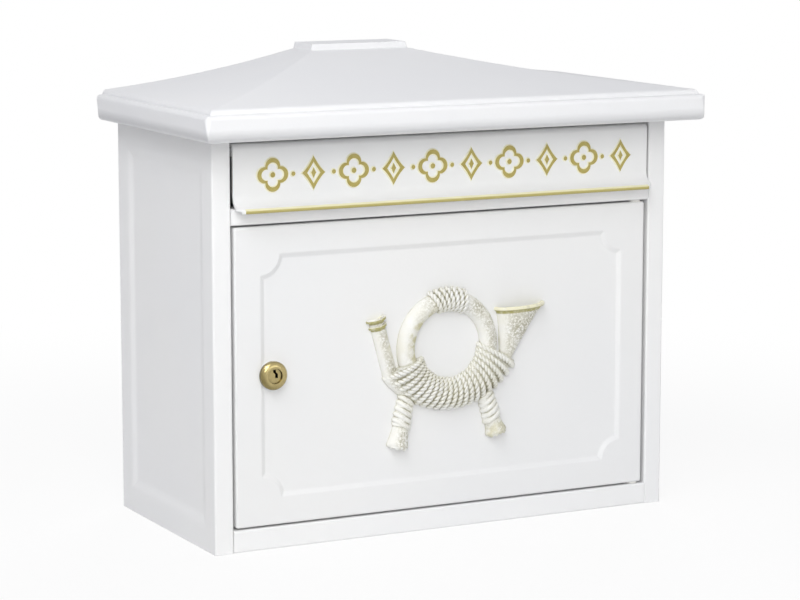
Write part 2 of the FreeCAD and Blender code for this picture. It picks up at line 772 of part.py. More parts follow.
def low_winding():
    sections = []
    for i in range(low_stations):
        inner, outer = low_winding_ends(i / (low_stations - 1))
        crown = (inner + outer) / 2 - Vec(0, low_rise - low_core_sink, 0)
        sections.append(Part.Wire([arc(inner, crown, outer), line(outer, inner)]))
    pieces = [Part.makeLoft(sections, True, True)]
    for i in range(low_turns):
        inner, outer = low_winding_ends((i + 0.5) / low_turns)
        span = (outer - inner).Length
        radius = (span ** 2 / 4 + low_rise ** 2) / (2 * low_rise)
        centre = (inner + outer) / 2 + Vec(0, radius - low_rise, 0)
        half_sweep = math.acos((radius - low_rise) / radius)
        pieces.append(cord(centre, (outer - inner) / span, radius, half_sweep, low_cord))
    return pieces


def top_winding():
    turns = []
    for i in range(top_turns):
        angle = top_winding_from + (top_winding_to - top_winding_from) * (i + 0.5) / top_turns
        lean = math.radians(angle + top_winding_tilt)
        along = Vec(math.cos(lean), 0, math.sin(lean))
        centre = on_ring(ring_radius + top_winding_out, angle)
        turns.append(cord(centre, along, tube_radius + top_cord / 2, math.pi / 2, top_cord))
    return turns


def collar(start, width, foot, crest):
    """Points of a bevelled collar on a turned outline."""
    return [(start, foot), (start + width / 4, crest), (start + width * 3 / 4, crest), (start + width, foot)]


def mouthpiece_leg():
    foot = on_ring(ring_radius + leg_out, leg_at)
    lean = math.radians(leg_lean)
    top = foot + Vec(-math.sin(lean), 0, math.cos(lean)) * leg_length
    rim = leg_radius + leg_rim
    spots = [(leg_cup, 0), (0, rim - leg_edge), (leg_edge, rim), (leg_rim_width - leg_edge, rim),
             (leg_rim_width, leg_radius)]
    spots += collar(leg_ring_from, leg_ring_width, leg_radius, leg_radius + leg_ring)
    spots += [(leg_length, leg_radius), (leg_length, 0)]
    leg = turned(polyline(spots), top, foot - top)
    path = Part.Wire([arc(foot, on_ring(ring_radius + elbow_out, elbow_at),
                          on_ring(ring_radius + elbow_end_out, elbow_end_at))])
    start_way = path.Edges[0].tangentAt(path.Edges[0].FirstParameter)
    section = Part.Wire([Part.makeCircle(leg_radius, foot, start_way)])
    return [leg, path.makePipeShell([section], True, False), Part.makeSphere(leg_radius, foot)]


def oval(centre, along, half_x, half_y):
    return Part.Wire([Part.Ellipse(centre + along * half_x, centre + Vec(0, half_y, 0), centre).toShape()])


def bell():
    """Oval bell that flares towards its mouth, with a rim and a dished mouth."""
    throat = on_ring(ring_radius + bell_out, bell_at)
    rise = Vec(math.tan(math.radians(bell_lean)), 0, 1) * bell_height

    def section(share):
        opened = max(share, 0)
        tilt = math.radians(bell_tilt * opened)
        flare = opened ** bell_flare_power
        half_x = bell_throat + bell_cone * opened + bell_flare * flare
        half_y = bell_relief_throat + bell_relief_cone * opened + bell_relief_flare * flare
        return throat + rise * share, Vec(math.cos(tilt), 0, math.sin(tilt)), half_x, half_y

    shares = [-bell_tuck / bell_height] + [1 - (1 - i / bell_stations) ** 2 for i in range(bell_stations + 1)]
    horn = Part.makeLoft([oval(*section(s)) for s in shares], True, True)
    mouth, along, half_x, half_y = section(1.0)
    up = Vec(-along.z, 0, along.x)
    low, lip = mouth - up * (bell_rim / 2), mouth + up * (bell_rim / 2)
    rim = Part.Face(oval(low, along, half_x + bell_rim_reach, half_y + bell_rim_reach)).extrude(up * bell_rim)
    rim = rim.makeChamfer(bell_rim_edge, [e for e in rim.Edges if e.Closed])
    dish = Part.makeLoft([oval(lip, along, half_x - bell_lip, half_y - bell_lip),
                          oval(lip - up * bell_dish, along, half_x - bell_dish, half_y - bell_dish)],
                         True, True)
    return horn.fuse(rim).cut(dish)


def tassel(top, lean, skirt):
    """Knotted head of beads and a flared skirt, hanging from top and leaning by an angle."""
    spots = [(0, 0), (0, tassel_top_radius)]
    s = 0.0
    for length, radius in tassel_beads:
        spots += collar(s, length, radius - tassel_neck, radius)
        s += length
    foot = s + skirt
    spots += [(s + skirt * tassel_waist_share, spots[-1][1] + tassel_waist),
              (foot - tassel_foot_round, tassel_foot_radius),
              (foot - tassel_foot_edge, tassel_foot_radius - tassel_foot_edge),
              (foot, tassel_foot_radius - tassel_foot_round), (foot, 0)]
    lean = math.radians(lean)
    return turned(polyline(spots), top, Vec(math.sin(lean), 0, -math.cos(lean)))


def post_horn():
    ring = Part.makeTorus(ring_radius, tube_radius, on_ring(0, 0), Vec(0, 1, 0))
    pieces = low_winding() + top_winding() + mouthpiece_leg() + [bell()]
    left_top = on_ring(ring_radius + left_tassel_out, left_tassel_at)
    right_top = on_ring(ring_radius + right_tassel_out, right_tassel_at)
    pieces.append(tassel(left_top, left_tassel_lean, left_tassel_skirt))
    pieces.append(tassel(right_top, right_tassel_lean, right_tassel_skirt))
    horn = ring.fuse(pieces).common(front_half())
    root_y, tip_y = panel_floor_y - tube_radius / 2, panel_floor_y + stud_length
    studs = [rod(stud_radius, Vec(x, root_y, z), Vec(x, tip_y, z)) for x, z in horn_stud_places()]
    return horn.fuse(studs).removeSplitter()


def horn_push_nuts():
    seat = panel_floor_y + sheet
    nuts = []
    for x, z in horn_stud_places():
        ends = Vec(x, seat, z), Vec(x, seat + push_nut_height, z)
        nuts.append(rod(push_nut_radius, *ends).cut(rod(stud_radius + seat_fit, *ends)))
    return Part.makeCompound(nuts)


side = left_side_panel()
low_pin, low_washer = pivot_set(door_low, -1)
high_pin, high_washer = pivot_set(door_high, 1)
nodes = {
    "left_side_panel": side,
    "right_side_panel": mirrored(side),
    "back_panel": back_panel(),
    "floor_tray": floor_tray(),
    "cross_rail": cross_rail(),
    "top_rail": top_rail(),
    "roof": roof(),
    "roof_screws": roof_screws(),
    "letter_flap": letter_flap(),
    "flap_hinge_rod": rod(rod_radius, *flap_rod_ends()),
    "flap_rod_caps": flap_rod_caps(),
    "door_panel": door_panel(),
    "door_pivot_pins": Part.makeCompound([low_pin, high_pin]),
    "door_pivot_washers": Part.makeCompound([low_washer, high_washer]),
    "post_horn": post_horn(),
    "horn_push_nuts": horn_push_nuts(),
    "lock_barrel": lock_barrel(),
    "lock_nut": lock_nut(),
    "lock_plug": lock_plug(),
    "lock_cam": lock_cam(),
    "cam_screw": cam_screw(),
}

os.makedirs("parts", exist_ok=True)
for name, shape in nodes.items():
    shape.exportStep(f"parts/{name}.step")
    print(name, "solids", len(shape.Solids), "valid", shape.isValid(), "volume", round(shape.Volume, 1))
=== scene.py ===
import json
import math

import bpy
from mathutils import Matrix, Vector

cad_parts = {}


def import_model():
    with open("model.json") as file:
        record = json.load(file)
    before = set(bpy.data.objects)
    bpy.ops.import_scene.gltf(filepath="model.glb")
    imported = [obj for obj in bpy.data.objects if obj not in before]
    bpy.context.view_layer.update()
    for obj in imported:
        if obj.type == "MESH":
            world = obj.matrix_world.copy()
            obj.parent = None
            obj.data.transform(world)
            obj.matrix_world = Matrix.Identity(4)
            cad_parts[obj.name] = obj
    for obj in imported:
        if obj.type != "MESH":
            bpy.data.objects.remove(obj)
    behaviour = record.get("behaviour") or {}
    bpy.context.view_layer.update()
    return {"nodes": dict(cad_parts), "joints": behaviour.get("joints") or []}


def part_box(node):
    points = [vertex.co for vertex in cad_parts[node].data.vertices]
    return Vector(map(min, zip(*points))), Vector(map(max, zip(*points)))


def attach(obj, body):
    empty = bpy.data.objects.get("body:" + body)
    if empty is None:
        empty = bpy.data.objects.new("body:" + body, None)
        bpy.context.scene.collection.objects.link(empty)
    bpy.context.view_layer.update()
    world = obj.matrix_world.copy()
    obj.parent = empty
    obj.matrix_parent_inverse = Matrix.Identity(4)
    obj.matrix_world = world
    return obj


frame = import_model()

# A white wall letter box in a plain studio: materials for the solids, a gold frieze on the flap
# and the twisted cords of the post horn. Metres, in the frame of the solids.

mm = 0.001

# Places read from the solids
front_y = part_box("door_panel")[0].y
flap_low, flap_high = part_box("letter_flap")
rim_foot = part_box("roof")[0].z
lock_centre = Vector([joint["pos_m"] for joint in frame["joints"] if joint["name"] == "lock_turn"][0])

# Rolled foot of the roof's rim, and the gold hem along the foot of the flap
rim_roll = 9.0 * mm
hem_face = 2.2 * mm
hem_depth = 2.5 * mm
hem_end = 4.5 * mm
hem_top = flap_low.z + hem_face
hem_back_y = flap_low.y + hem_depth
hem_half = flap_high.x - hem_end
gold_above_hem = 1.2 * mm
gold_wobble = 0.5 * mm
# Heights about hem_top over which the hem's gold turns to a pale cream painted highlight along its top
gold_highlight_ramp = (-0.5 * mm, 0.2 * mm)

# Fine rings on the lock's brass, in radians a metre
lathe_rings = 16000.0

# Frieze on the flap: half sizes and fullness of its lozenges, lobe offset and lobe radius of its quatrefoils
frieze_left = -136.0 * mm
frieze_right = 142.0 * mm
frieze_z = 262.0 * mm
frieze_count = 10
frieze_height = 1.0 * mm
frieze_bevel = 0.8 * mm
lozenge_outer = (9.6 * mm, 12.6 * mm, 0.9)
lozenge_inner = (4.3 * mm, 6.8 * mm, 0.9)
lozenge_boss = (2.8 * mm, 4.6 * mm, 1.0)
foil_outer = (6.2 * mm, 6.2 * mm)
foil_inner = (4.3 * mm, 3.4 * mm)
foil_boss_radius = 2.6 * mm
bead_radius = 2.3 * mm
band_steps = 96
boss_steps = 32
bead_steps = 24
boss_crown = 1.25

# The post horn, as in the solids; places round its ring are in degrees
recess_depth = 2.0 * mm
recess_y = front_y + recess_depth
ring_centre = Vector((0.4 * mm, recess_y, 132.325 * mm))
ring_radius = 33.3 * mm
tube_radius = 6.9 * mm
leg_out = 15.8 * mm
leg_at = 203.0
leg_lean = math.radians(15.2)
leg_length = 45.8 * mm
leg_rim_reach = 8.6 * mm
leg_rim_gilt = (1.2 * mm, 3.8 * mm, 0.8 * mm)
leg_ring_gilt = (6.4 * mm, 8.8 * mm, 0.9 * mm)
bell_out = 16.0 * mm
bell_at = -14.9
bell_height = 37.4 * mm
bell_lean = math.radians(17.0)
bell_tilt = math.radians(3.0)
bell_gilt = 3.38 * mm
# Depth of the pale cream painted highlight along the bell's lip
bell_lip_highlight = 0.78 * mm
bell_fade = 0.4 * mm
# A spot of gilt rub on the ring, shown only where it faces right as painted shade
worn_and_shaded_at = 158.0
worn_and_shaded_reach = 30.0 * mm
skirt_smudge = 17.0 * mm
# Strength of the grey specks laid on what faces right: rub, placed as painted shade
horn_rub_and_shade = 0.95
cord_rub_and_shade = 0.4

# Laid cords of the windings; an edge of the lower one stands off the tube by a level, a slope and a curve
strand_sink = 0.3 * mm
strand_limit_y = recess_y + strand_sink
strand_dome = 0.6
strand_offset = 0.46
strand_share = 0.62
cord_sides = 8
low_turns = 21
low_rise = 9.0 * mm
low_inner_edge = (-2.4 * mm, 4.4 * mm, -4.8 * mm)
low_outer_edge = (4.1 * mm, 3.2 * mm, 47.6 * mm)
low_inner_span = (196.0, 363.0)
low_outer_span = (198.0, 344.6)
low_radii = (1.55 * mm, 2.3 * mm)
low_pitch = 6.6 * mm
low_shift = 0.9
low_steps = 64
top_turns = 7
top_span = (66.0, 111.0)
top_tilt = 12.0
top_out = 0.6 * mm
top_lift = 0.7 * mm
top_radii = (1.85 * mm, 1.85 * mm)
top_pitch = 7.2 * mm
top_shift = 0.8
top_steps = 56
turn_share = 1.1

# Tassels: turns of cord round a head, and a skirt of uneven strands
tassel_spots = (
    {"out": 14.2 * mm, "at": 226.2, "lean": math.radians(-12.0), "skirt": 15.6 * mm},
    {"out": 13.1 * mm, "at": 310.5, "lean": math.radians(18.0), "skirt": 11.8 * mm},
)
tassel_sides = 12
tassel_head = 21.4 * mm
tassel_radius = 6.2 * mm
tassel_foot = 8.4 * mm
tassel_turns = 5
tassel_turn_steps = 48
tassel_turn_radius = 2.0 * mm
tassel_taper = 1.3 * mm
tassel_twist = 2.4 * mm
skirt_strands = 9
skirt_stations = 7
skirt_radius = 1.9 * mm
skirt_inset = 1.7 * mm
skirt_spread = math.radians(80)
skirt_sway = math.radians(5)
skirt_flare = 1.6
skirt_length = 0.93
skirt_uneven = 0.06
length_wave = 2.3
sway_wave = 1.9

# The photograph's view, in an image of 800 by 600
image_width = 800
focal_pixels = 2766.6
sensor_width = 36.0
view_azimuth = math.radians(-27.324)
view_elevation = math.radians(8.973)
view_distance = 2.0427
view_target = Vector((0.00603, 0.015, 0.15329))
view_end = 50.0

# The paper floor: half its width, and where its shadows fade to plain white
floor_half = 40.0
floor_fade = (0.3, 0.9)
floor_white = (0.87, 1.0)


# Node helpers

class Surface:
    """A material and short calls to add and join its nodes."""

    def __init__(self, name):
        self.material = bpy.data.materials.new(name)
        self.material.use_nodes = True
        self.tree = self.material.node_tree
        self.shader = self.tree.nodes["Principled BSDF"]
        self.place = self.add("ShaderNodeTexCoord").outputs["Object"]

    def add(self, kind, inputs=None, **settings):
        node = self.tree.nodes.new(kind)
        for name, value in settings.items():
            setattr(node, name, value)
        for name, value in (inputs or {}).items():
            self.feed(node.inputs[name], value)
        return node

    def feed(self, socket, value):
        if isinstance(value, bpy.types.NodeSocket):
            self.tree.links.new(value, socket)
        else:
            socket.default_value = value

    def set(self, **values):
        """Values or sockets for the shader's inputs."""
        for name, value in values.items():
            self.feed(self.shader.inputs[name.replace("_", " ")], value)

    def fed(self, name):
        """The socket that feeds one of the shader's inputs."""
        return self.shader.inputs[name].links[0].from_socket

    def noise(self, scale, detail=2.0, roughness=0.5):
        inputs = {"Vector": self.place, "Scale": scale, "Detail": detail, "Roughness": roughness}
        return self.add("ShaderNodeTexNoise", inputs).outputs["Fac"]

    def span(self, value, source, target=(0.0, 1.0), smooth=False):
        """A value carried over from one range to another, and held at its ends."""
        kind = "SMOOTHSTEP" if smooth else "LINEAR"
        node = self.add("ShaderNodeMapRange", interpolation_type=kind)
        for socket, number in zip(node.inputs, (value, *source, *target)):
            self.feed(socket, number)
        return node.outputs[0]

    def math(self, operation, *values):
        node = self.add("ShaderNodeMath", operation=operation)
        for socket, value in zip(node.inputs, values):
            self.feed(socket, value)
        return node.outputs[0]

    def product(self, value, *factors):
        for factor in factors:
            value = self.math("MULTIPLY", value, factor)
        return value

    def mix(self, factor, first, second):
        node = self.add("ShaderNodeMix", data_type="RGBA")
        colours = [s for s in node.inputs if s.type == "RGBA"]
        self.feed(node.inputs[0], factor)
        self.feed(colours[0], first)
        self.feed(colours[1], second)
        return [s for s in node.outputs if s.type == "RGBA"][0]

    def vector(self, operation, first, second=None):
        inputs = {0: first} if second is None else {0: first, 1: second}
        return self.add("ShaderNodeVectorMath", inputs, operation=operation).outputs

    def axes(self, vector=None):
        return self.add("ShaderNodeSeparateXYZ", {"Vector": vector or self.place}).outputs

    def facing(self):
        """The three parts of the surface's normal."""
        return self.axes(self.add("ShaderNodeTexCoord").outputs["Normal"])

    def openness(self, distance):
        """One on open ground, and less in hollows narrower than a distance."""
        return self.add("ShaderNodeAmbientOcclusion", {"Distance": distance}, samples=8).outputs["AO"]

    def bump(self, height, strength, distance, normal=None):
        inputs = {"Height": height, "Strength": strength, "Distance": distance}
        if normal:
            inputs["Normal"] = normal
        return self.add("ShaderNodeBump", inputs).outputs["Normal"]


def rgb(red, green, blue):
    return (red, green, blue, 1.0)


# Masks on the post horn

def along(surface, start, way):
    """Distance of the shaded point from a start point along a direction."""
    offset = surface.vector("SUBTRACT", surface.place, start)[0]
    return surface.vector("DOT_PRODUCT", offset, way)["Value"]


def band(surface, value, low, high, fade):
    """One between two values, falling to nought over a short fade on both sides."""
    rise = surface.span(value, (low - fade, low), smooth=True)
    return surface.product(rise, surface.span(value, (high, high + fade), (1.0, 0.0), smooth=True))


def smudge_mask(surface, spot, reach):
    """One near a spot, falling to nought at a distance."""
    far = surface.vector("DISTANCE", surface.place, spot)["Value"]
    return surface.span(far, (reach * 0.5, reach), (1.0, 0.0), smooth=True)


def leg_rim_mask(surface):
    """One under the rim and under the ring at the mouthpiece end of the horn's leg."""
    down = Vector((math.sin(leg_lean), 0, -math.cos(leg_lean)))
    across = Vector((math.cos(leg_lean), 0, math.sin(leg_lean)))
    top = leg_foot() - down * leg_length
    depth = along(surface, top, down)
    aside = surface.math("ABSOLUTE", along(surface, top, across))
    near = surface.math("LESS_THAN", aside, leg_rim_reach)
    under_rim = band(surface, depth, *leg_rim_gilt)
    under_ring = band(surface, depth, *leg_ring_gilt)
    return surface.product(near, surface.math("MAXIMUM", under_rim, under_ring))


def bell_rim_mask(surface, depth):
    """One on the bell from its mouth down to a depth."""
    up = Vector((-math.sin(bell_tilt), 0, math.cos(bell_tilt)))
    height = along(surface, bell_mouth(), up)
    above = surface.span(height, (-depth - bell_fade, -depth + bell_fade), smooth=True)
    right = surface.math("GREATER_THAN", surface.axes()[0], ring_centre.x + ring_radius)
    return surface.product(right, above)


# Materials

def powder_coat(name, warm, cool, gloss=0.25, smooth=0.34, edge=0.8 * mm):
    """White powder coat: soft edges, fine orange peel, a slow drift of tone and glossier patches."""
    coat = Surface(name)
    grain = coat.noise(1900.0, detail=1.0)
    drift = coat.span(coat.noise(7.0, detail=3.0), (0.35, 0.65))
    speck = coat.span(grain, (0.3, 0.7), (0.0, 0.05))
    coat.set(Base_Color=coat.mix(speck, coat.mix(drift, warm, cool), rgb(0.7, 0.7, 0.71)))
    coat.set(Roughness=coat.span(coat.noise(40.0, detail=4.0), (0.3, 0.7), (smooth, smooth + 0.12)))
    soft_edge = coat.add("ShaderNodeBevel", {"Radius": edge}, samples=8).outputs["Normal"]
    peel = coat.bump(coat.noise(620.0), 0.16, 0.3 * mm, soft_edge)
    coat.set(Normal=coat.bump(grain, 0.05, 0.1 * mm, peel), Specular_IOR_Level=gloss)
    return coat


def cabinet_paint():
    return powder_coat("white_powder_coat", rgb(0.885, 0.885, 0.882), rgb(0.865, 0.868, 0.875)).material


def door_paint():
    """The door's coat, a shade deeper, over the wide soft edges of a pressing."""
    warm, cool = rgb(0.85, 0.85, 0.846), rgb(0.83, 0.834, 0.84)
    return powder_coat("door_powder_coat", warm, cool, edge=1.8 * mm).material


def roof_paint():
    """The roof's duller coat, with the foot of its rim rolled under."""
    warm, cool = rgb(0.885, 0.887, 0.895), rgb(0.87, 0.874, 0.888)
    coat = powder_coat("roof_powder_coat", warm, cool, gloss=0.0, smooth=0.55)
    share = coat.span(coat.axes()[2], (rim_foot, rim_foot + rim_roll), (1.0, 0.0))
    fall = coat.product(share, share, -1.0)
    coat.set(Normal=coat.bump(fall, 1.0, rim_roll * 0.5, coat.fed("Normal")))
    return coat.material


def flap_paint():
    """The flap's white coat with the gold line along its hem, darker towards its foot as painted shade and
    pale cream along its top as a painted highlight.
    """
    coat = powder_coat("flap_white_and_gold", rgb(0.885, 0.885, 0.88), rgb(0.865, 0.87, 0.875))
    x, y, z = coat.axes()
    wobble = coat.product(coat.noise(160.0), gold_wobble)
    before = coat.math("LESS_THAN", y, hem_back_y)
    under = coat.math("LESS_THAN", coat.math("ADD", z, wobble), hem_top + gold_above_hem)
    within = coat.math("LESS_THAN", coat.math("ABSOLUTE", x), hem_half)
    # Painted shade: the hem's gold face darkens towards the flap's foot
    face = coat.mix(coat.span(z, (flap_low.z, hem_top)), rgb(0.36, 0.31, 0.1), rgb(0.56, 0.49, 0.19))
    # Painted highlight: pale cream along the top of the hem
    slope = coat.span(z, [hem_top + off for off in gold_highlight_ramp], smooth=True)
    leaf = coat.mix(slope, face, rgb(0.87, 0.84, 0.58))
    coat.set(Base_Color=coat.mix(coat.product(before, under, within), coat.fed("Base Color"), leaf))
    return coat.material


def gold_leaf():
    """Dull gold paint with cream painted highlights on the bevelled edges, where a face leans away from the
    front.
    """
    leaf = Surface("frieze_gold")
    # Painted highlight: cream on the bevels, picked by how far the face leans from the front
    edge = leaf.span(leaf.math("ABSOLUTE", leaf.facing()[1]), (0.8, 0.95), (1.0, 0.0))
    patch = leaf.span(leaf.noise(260.0, detail=4.0), (0.35, 0.7))
    face = leaf.mix(patch, rgb(0.4, 0.325, 0.075), rgb(0.46, 0.385, 0.115))
    leaf.set(Base_Color=leaf.mix(edge, face, rgb(0.9, 0.87, 0.66)))
    leaf.set(Roughness=leaf.span(leaf.noise(420.0, detail=3.0), (0.3, 0.7), (0.36, 0.52)))
    leaf.set(Normal=leaf.bump(leaf.noise(1500.0), 0.12, 0.2 * mm))
    return leaf.material


def horn_white(cast, facing, rub_and_shade_share):
    """Antique white with gilding on two spots, laid on one of them only where it faces right as painted
    shade, and grey specks of rub on what faces right as painted shade.
    """
    tone = cast.span(cast.noise(55.0, detail=4.0), (0.35, 0.65))
    white = cast.mix(tone, rgb(0.88, 0.88, 0.86), rgb(0.86, 0.85, 0.78))
    skirt = smudge_mask(cast, tassel_end(tassel_spots[1]), skirt_smudge)
    worn_and_shaded_spot = smudge_mask(cast, on_ring(ring_radius - tube_radius * 0.5, worn_and_shaded_at), worn_and_shaded_reach)
    # Painted shade: the spot's gilding is laid only on what faces right, inside the ring
    inward_gilt_and_shade = cast.product(worn_and_shaded_spot, cast.span(facing[0], (-0.35, 0.35), smooth=True))
    gilt_touched_and_shaded = cast.math("MAXIMUM", inward_gilt_and_shade, cast.product(skirt, 0.6))
    patches = cast.span(cast.noise(210.0, detail=3.0), (0.42, 0.6), (0.1, 1.0))
    gilded = cast.mix(cast.product(gilt_touched_and_shaded, patches), white, rgb(0.6, 0.565, 0.34))
    # Painted shade: grey specks grow on what faces right; near the right tassel's skirt they are rub
    side = cast.span(facing[0], (-0.8, 0.05), (0.0, rub_and_shade_share), smooth=True)
    side = cast.math("MAXIMUM", side, cast.product(skirt, 0.7))
    side = cast.product(side, cast.span(worn_and_shaded_spot, (0.0, 1.0), (1.0, 0.3)))
    specks = cast.span(cast.noise(700.0, detail=3.0, roughness=0.7), (0.41, 0.56))
    clouds = cast.span(cast.noise(70.0, detail=3.0), (0.35, 0.6), (0.35, 1.0))
    return cast.mix(cast.product(specks, clouds, side), gilded, rgb(0.4, 0.375, 0.265))


def horn_gilt(cast, facing):
    """Olive gold, with pale cream painted highlights where it faces up and on the bell's lip."""
    olive = cast.mix(cast.noise(120.0), rgb(0.34, 0.31, 0.1), rgb(0.46, 0.43, 0.18))
    # Painted highlight: pale cream on what faces up and along the bell's lip
    upward_highlight = cast.span(facing[2], (0.35, 0.8), smooth=True)
    pale = cast.math("MAXIMUM", upward_highlight, bell_rim_mask(cast, bell_lip_highlight))
    return cast.mix(pale, olive, rgb(0.84, 0.81, 0.6))


def horn_finish(name, rub_and_shade_share):
    """Antique white casting with rub and painted shade in grey specks, olive gold on its rims, and olive
    grey painted shade in its hollows.
    """
    cast = Surface(name)
    facing = cast.facing()
    # Painted shade: olive grey in broken patches where the hollows are narrow
    hollow_shade = cast.span(cast.openness(3.0 * mm), (0.4, 0.82), (0.9, 0.0))
    broken = cast.product(hollow_shade, cast.span(cast.noise(260.0, detail=3.0), (0.3, 0.6), (0.45, 1.0)))
    shaded = cast.mix(broken, horn_white(cast, facing, rub_and_shade_share), rgb(0.43, 0.405, 0.265))
    rims = cast.math("MAXIMUM", leg_rim_mask(cast), bell_rim_mask(cast, bell_gilt))
    rims = cast.product(rims, cast.span(cast.noise(300.0, detail=3.0), (0.34, 0.56), (0.65, 1.0)))
    cast.set(Base_Color=cast.mix(rims, shaded, horn_gilt(cast, facing)))
    cast.set(Roughness=cast.span(cast.noise(200.0, detail=3.0), (0.3, 0.7), (0.4, 0.6)))
    rough = cast.bump(cast.noise(420.0, detail=4.0, roughness=0.6), 0.4, 0.5 * mm)
    cast.set(Normal=cast.bump(cast.noise(1600.0), 0.2, 0.2 * mm, rough))
    return cast.material


def turned_brass():
    """Polished brass turned about the lock's axis, with fine rings, a little tarnish, painted shade on what
    faces down and left, and near black painted shade in its hollows.
    """
    brass = Surface("turned_brass")
    off = brass.axes(brass.vector("SUBTRACT", brass.place, lock_centre)[0])
    reach_squared = brass.math("ADD", brass.product(off[0], off[0]), brass.product(off[2], off[2]))
    rings = brass.math("SINE", brass.product(brass.math("SQRT", reach_squared), lathe_rings))
    tarnish = brass.span(brass.noise(230.0, detail=4.0), (0.35, 0.7))
    polished = brass.mix(tarnish, rgb(0.47, 0.385, 0.185), rgb(0.37, 0.3, 0.14))
    facing = brass.facing()
    # Painted shade: darker brass on what faces down and to the left
    low = brass.span(brass.math("ADD", facing[0], facing[2]), (-0.9, 0.1), (0.75, 0.0), smooth=True)
    brass_with_painted_shade = brass.mix(low, polished, rgb(0.2, 0.165, 0.065))
    # Painted shade: near black in the lock's hollows, round the plug and in the keyway
    hollow_shade = brass.span(brass.openness(4.0 * mm), (0.15, 0.82), (1.0, 0.0))
    brass.set(Base_Color=brass.mix(hollow_shade, brass_with_painted_shade, rgb(0.03, 0.024, 0.01)), Metallic=1.0)
    brass.set(Roughness=brass.span(tarnish, (0.0, 1.0), (0.16, 0.28)))
    brass.set(Normal=brass.bump(rings, 0.06, 0.05 * mm))
    return brass.material


def zinc_plate():
    """Zinc plated steel with a faint spangle and drawn lines."""
    zinc = Surface("zinc_plate")
    cells = zinc.add("ShaderNodeTexVoronoi", {"Vector": zinc.place, "Scale": 420.0}).outputs["Color"]
    tone = zinc.span(zinc.axes(cells)[0], (0.0, 1.0))
    zinc.set(Base_Color=zinc.mix(tone, rgb(0.52, 0.53, 0.55), rgb(0.64, 0.65, 0.66)), Metallic=1.0)
    zinc.set(Roughness=zinc.span(zinc.noise(300.0, detail=3.0), (0.3, 0.7), (0.28, 0.45)))
    zinc.set(Normal=zinc.bump(zinc.noise(900.0), 0.12, 0.2 * mm))
    return zinc.material


def natural_nylon():
    """Milky nylon with a faint moulded mottle."""
    nylon = Surface("natural_nylon")
    mottle = nylon.noise(380.0, detail=3.0)
    nylon.set(Base_Color=nylon.mix(mottle, rgb(0.74, 0.73, 0.69), rgb(0.84, 0.83, 0.8)))
    nylon.set(Roughness=nylon.span(mottle, (0.3, 0.7), (0.4, 0.55)))
    nylon.set(Normal=nylon.bump(nylon.noise(1400.0), 0.1, 0.2 * mm))
    return nylon.material


def paint_nodes():
    """One finish on each solid."""
    finishes = (
        (cabinet_paint(), ("left_side_panel", "right_side_panel", "back_panel", "floor_tray",
                           "cross_rail", "top_rail")),
        (door_paint(), ("door_panel",)),
        (roof_paint(), ("roof",)),
        (flap_paint(), ("letter_flap",)),
        (horn_finish("horn_antique_white", horn_rub_and_shade), ("post_horn",)),
        (turned_brass(), ("lock_barrel", "lock_plug")),
        (natural_nylon(), ("flap_rod_caps", "door_pivot_washers")),
        (zinc_plate(), ("roof_screws", "flap_hinge_rod", "door_pivot_pins", "horn_push_nuts",
                        "lock_nut", "lock_cam", "cam_screw")),
    )
    for finish, names in finishes:
        for name in names:
            solid = frame["nodes"][name]
            solid.data.materials.clear()
            solid.data.materials.append(finish)


# Frieze on the flap

def new_piece(name, verts, faces, material, body):
    mesh = bpy.data.meshes.new(name)
    mesh.from_pydata(verts, [], faces)
    mesh.materials.append(material)
    piece = bpy.data.objects.new(name, mesh)
    bpy.context.scene.collection.objects.link(piece)
    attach(piece, body)
    return piece


def add_band(verts, faces, centre, outer, inner):
    """Closed raised band between two outlines given as radius by angle, with bevelled edges."""
    first = len(verts)
    for i in range(band_steps):
        angle = 2 * math.pi * i / band_steps
        way = Vector((math.cos(angle), 0, math.sin(angle)))
        out, into = outer(angle), inner(angle)
        outer_half = (out, 0), (out - frieze_bevel, frieze_height)
        inner_half = (into + frieze_bevel, frieze_height), (into, 0)
        for reach, lift in outer_half + inner_half:
            verts.append(centre + way * reach - Vector((0, lift, 0)))
    for i in range(band_steps):
        a, b = first + 4 * i, first + 4 * ((i + 1) % band_steps)
        for j in range(4):
            k = (j + 1) % 4
            faces.append((a + j, a + k, b + k, b + j))


def add_boss(verts, faces, centre, outline, steps):
    """Raised filled shape with a bevelled edge and a slightly crowned top."""
    first = len(verts)
    for i in range(steps):
        angle = 2 * math.pi * i / steps
        way = Vector((math.cos(angle), 0, math.sin(angle)))
        verts.append(centre + way * outline(angle))
        verts.append(centre + way * (outline(angle) - frieze_bevel) - Vector((0, frieze_height, 0)))
    verts.append(centre - Vector((0, frieze_height * boss_crown, 0)))
    verts.append(centre)
    top, bottom = first + 2 * steps, first + 2 * steps + 1
    for i in range(steps):
        a, b = first + 2 * i, first + 2 * ((i + 1) % steps)
        faces.append((a, a + 1, b + 1, b))
        faces.append((a + 1, top, b + 1))
        faces.append((a, b, bottom))


def lozenge(half_x, half_z, power):
    def reach(angle):
        across = abs(math.cos(angle) / half_x) ** power
        return (across + abs(math.sin(angle) / half_z) ** power) ** (-1 / power)
    return reach


def quatrefoil(lobe_offset, lobe_radius):
    def reach(angle):
        turn = (angle + math.pi / 4) % (math.pi / 2) - math.pi / 4
        aside = lobe_offset * math.sin(turn)
        return lobe_offset * math.cos(turn) + math.sqrt(lobe_radius ** 2 - aside ** 2)
    return reach


def disc(radius):
    def reach(angle):
        return radius
    return reach


